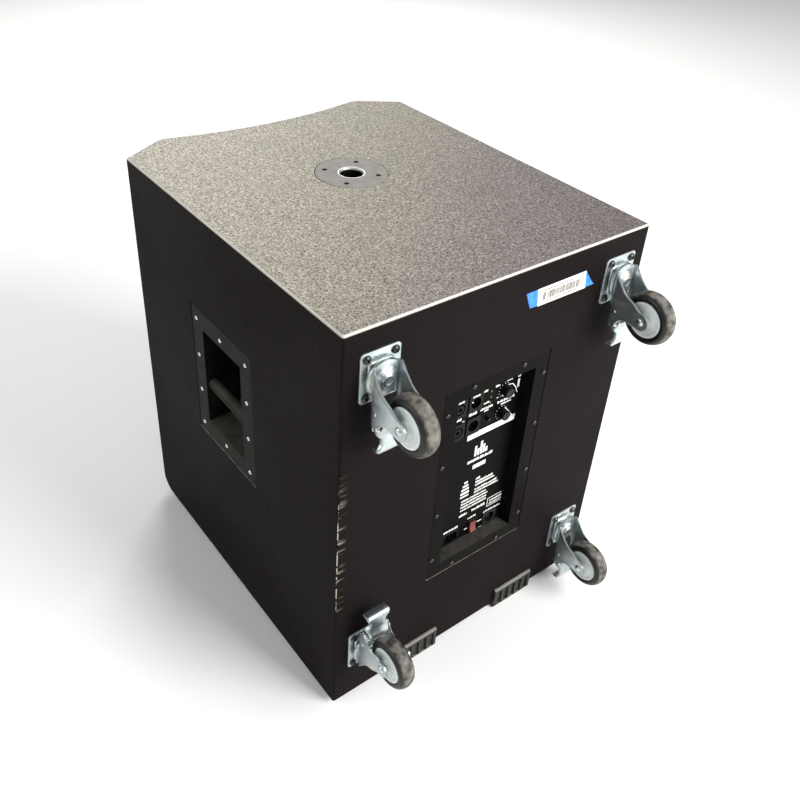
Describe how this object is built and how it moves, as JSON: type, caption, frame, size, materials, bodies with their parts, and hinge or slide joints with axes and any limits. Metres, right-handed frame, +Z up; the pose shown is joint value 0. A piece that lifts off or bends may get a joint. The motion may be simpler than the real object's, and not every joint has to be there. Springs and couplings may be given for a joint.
{
  "type": "powered subwoofer cabinet",
  "caption": "Tall black powered subwoofer cabinet with a curved grille, pole socket, recessed side handles, sunk amplifier panel and braked swivel casters on its back.",
  "frame": {"origin": "on the floor under the centre of the whole object, casters included", "axes": "+Z up and out of the pole socket, -Y out of the grille, +Y out of the amplifier and caster side, +X to the viewer's right from the front"},
  "size_m": [0.538, 0.7408, 0.6905],
  "materials": {
    "painted_ply": "coarse textured black paint on plywood",
    "bare_ply": "bare birch plywood",
    "grille_steel": "powder coated perforated steel",
    "acoustic_foam": "open cell reticulated foam",
    "black_screw": "black oxide",
    "cast_alloy": "die cast and black painted",
    "motor_iron": "ferrite ring between turned steel plates",
    "cone_paper": "treated pulp cone",
    "coil_wire": "wound ribbon wire on a former",
    "surround_cloth": "doped cloth",
    "socket_steel": "satin black paint worn bright at the bore",
    "bright_screw": "bright zinc",
    "handle_plastic": "moulded, fine grained",
    "amp_steel": "satin black powder coat",
    "board_resin": "glass resin board with components",
    "socket_plastic": "moulded black nylon",
    "outlet_plastic": "moulded grey nylon",
    "knob_plastic": "moulded, soft sheen",
    "light_lens": "tinted acrylic",
    "rocker_red": "translucent red",
    "foot_rubber": "moulded rubber",
    "zinc_steel": "bright zinc plate, slightly blue",
    "zinc_bolt": "bright zinc, turned",
    "ball_steel": "ground steel",
    "hub_nylon": "moulded light grey",
    "tyre_rubber": "black rubber, tread scuffed grey"
  },
  "bodies": {
    "cabinet": {"amp_electronics": "board_resin", "amp_heatsink": "cast_alloy", "amp_panel": "amp_steel", "bottom_panel": "painted_ply", "caster_balls": "ball_steel", "caster_bolts": "black_screw", "caster_king_rivets": "zinc_steel", "caster_plates": "zinc_steel", "foot_screws": "bright_screw", "front_baffle": "painted_ply", "front_grille": "grille_steel", "grille_foam": "acoustic_foam", "grille_screws": "black_screw", "inner_boards": "bare_ply", "left_handle": "handle_plastic", "left_side_panel": "painted_ply", "mains_inlet": "socket_plastic", "mains_outlet": "outlet_plastic", "panel_screws": "bright_screw", "pole_socket": "socket_steel", "pole_socket_screws": "black_screw", "rear_panel": "painted_ply", "right_handle": "handle_plastic", "right_side_panel": "painted_ply", "round_feet": "foot_rubber", "signal_sockets": "socket_plastic", "skid_feet": "foot_rubber", "status_lights": "light_lens", "top_panel": "painted_ply", "woofer_basket": "cast_alloy", "woofer_motor": "motor_iron", "woofer_screws": "black_screw", "woofer_spider": "surround_cloth", "woofer_surround": "surround_cloth"},
    "cone_assembly": {"woofer_cone": "cone_paper", "woofer_voice_coil": "coil_wire"},
    "level_control": {"level_knob": "knob_plastic"},
    "crossover_control": {"crossover_knob": "knob_plastic"},
    "phase_switch": {"phase_button": "knob_plastic"},
    "power_switch": {"power_rocker": "rocker_red"},
    "swivel_top_left": {"fork_top_left": "zinc_steel", "axle_top_left": "zinc_bolt"},
    "wheel_top_left": {"hub_top_left": "hub_nylon", "tyre_top_left": "tyre_rubber"},
    "brake_top_left": {"pedal_top_left": "zinc_steel"},
    "swivel_top_right": {"fork_top_right": "zinc_steel", "axle_top_right": "zinc_bolt"},
    "wheel_top_right": {"hub_top_right": "hub_nylon", "tyre_top_right": "tyre_rubber"},
    "brake_top_right": {"pedal_top_right": "zinc_steel"},
    "swivel_bottom_left": {"fork_bottom_left": "zinc_steel", "axle_bottom_left": "zinc_bolt"},
    "wheel_bottom_left": {"hub_bottom_left": "hub_nylon", "tyre_bottom_left": "tyre_rubber"},
    "brake_bottom_left": {"pedal_bottom_left": "zinc_steel"},
    "swivel_bottom_right": {"fork_bottom_right": "zinc_steel", "axle_bottom_right": "zinc_bolt"},
    "wheel_bottom_right": {"hub_bottom_right": "hub_nylon", "tyre_bottom_right": "tyre_rubber"},
    "brake_bottom_right": {"pedal_bottom_right": "zinc_steel"}
  },
  "joints": [
    {"name": "cone_travel", "type": "slide", "parent": "cabinet", "child": "cone_assembly", "axis": [0, -1, 0], "range_m": [-0.008, 0.008], "stiffness_N_per_m": 4000},
    {"name": "level_turn", "type": "hinge", "parent": "cabinet", "child": "level_control", "pos_m": [-0.036, 0.23987, 0.476], "axis": [0, 1, 0], "range_deg": [-145, 145]},
    {"name": "crossover_turn", "type": "hinge", "parent": "cabinet", "child": "crossover_control", "pos_m": [-0.036, 0.23987, 0.434], "axis": [0, 1, 0], "range_deg": [-145, 145]},
    {"name": "phase_press", "type": "slide", "parent": "cabinet", "child": "phase_switch", "axis": [0, -1, 0], "range_m": [0, 0.0015], "stiffness_N_per_m": 400},
    {"name": "power_rock", "type": "hinge", "parent": "cabinet", "child": "power_switch", "pos_m": [-0.008, 0.24087, 0.216], "axis": [-1, 0, 0], "range_deg": [0, 16]},
    {"name": "swivel_turn_top_left", "type": "hinge", "parent": "cabinet", "child": "swivel_top_left", "pos_m": [-0.2135, 0.26037, 0.619], "axis": [0, 1, 0], "continuous": true},
    {"name": "wheel_spin_top_left", "type": "hinge", "parent": "swivel_top_left", "child": "wheel_top_left", "pos_m": [-0.2135, 0.33037, 0.5865], "axis": [1, 0, 0], "continuous": true},
    {"name": "brake_press_top_left", "type": "hinge", "parent": "swivel_top_left", "child": "brake_top_left", "pos_m": [-0.2135, 0.28437, 0.562], "axis": [1, 0, 0], "range_deg": [0, 15]},
    {"name": "swivel_turn_top_right", "type": "hinge", "parent": "cabinet", "child": "swivel_top_right", "pos_m": [0.2135, 0.26037, 0.619], "axis": [0, 1, 0], "continuous": true},
    {"name": "wheel_spin_top_right", "type": "hinge", "parent": "swivel_top_right", "child": "wheel_top_right", "pos_m": [0.2135, 0.33037, 0.5865], "axis": [1, 0, 0], "continuous": true},
    {"name": "brake_press_top_right", "type": "hinge", "parent": "swivel_top_right", "child": "brake_top_right", "pos_m": [0.2135, 0.28437, 0.562], "axis": [1, 0, 0], "range_deg": [0, 15]},
    {"name": "swivel_turn_bottom_left", "type": "hinge", "parent": "cabinet", "child": "swivel_bottom_left", "pos_m": [-0.2135, 0.26037, 0.1135], "axis": [0, 1, 0], "continuous": true},
    {"name": "wheel_spin_bottom_left", "type": "hinge", "parent": "swivel_bottom_left", "child": "wheel_bottom_left", "pos_m": [-0.2135, 0.33037, 0.081], "axis": [1, 0, 0], "continuous": true},
    {"name": "brake_press_bottom_left", "type": "hinge", "parent": "swivel_bottom_left", "child": "brake_bottom_left", "pos_m": [-0.2135, 0.28437, 0.0565], "axis": [1, 0, 0], "range_deg": [0, 15]},
    {"name": "swivel_turn_bottom_right", "type": "hinge", "parent": "cabinet", "child": "swivel_bottom_right", "pos_m": [0.2135, 0.26037, 0.1135], "axis": [0, 1, 0], "continuous": true},
    {"name": "wheel_spin_bottom_right", "type": "hinge", "parent": "swivel_bottom_right", "child": "wheel_bottom_right", "pos_m": [0.2135, 0.33037, 0.146], "axis": [1, 0, 0], "continuous": true},
    {"name": "brake_press_bottom_right", "type": "hinge", "parent": "swivel_bottom_right", "child": "brake_bottom_right", "pos_m": [0.2135, 0.28437, 0.1705], "axis": [-1, 0, 0], "range_deg": [0, 15]}
  ]
}
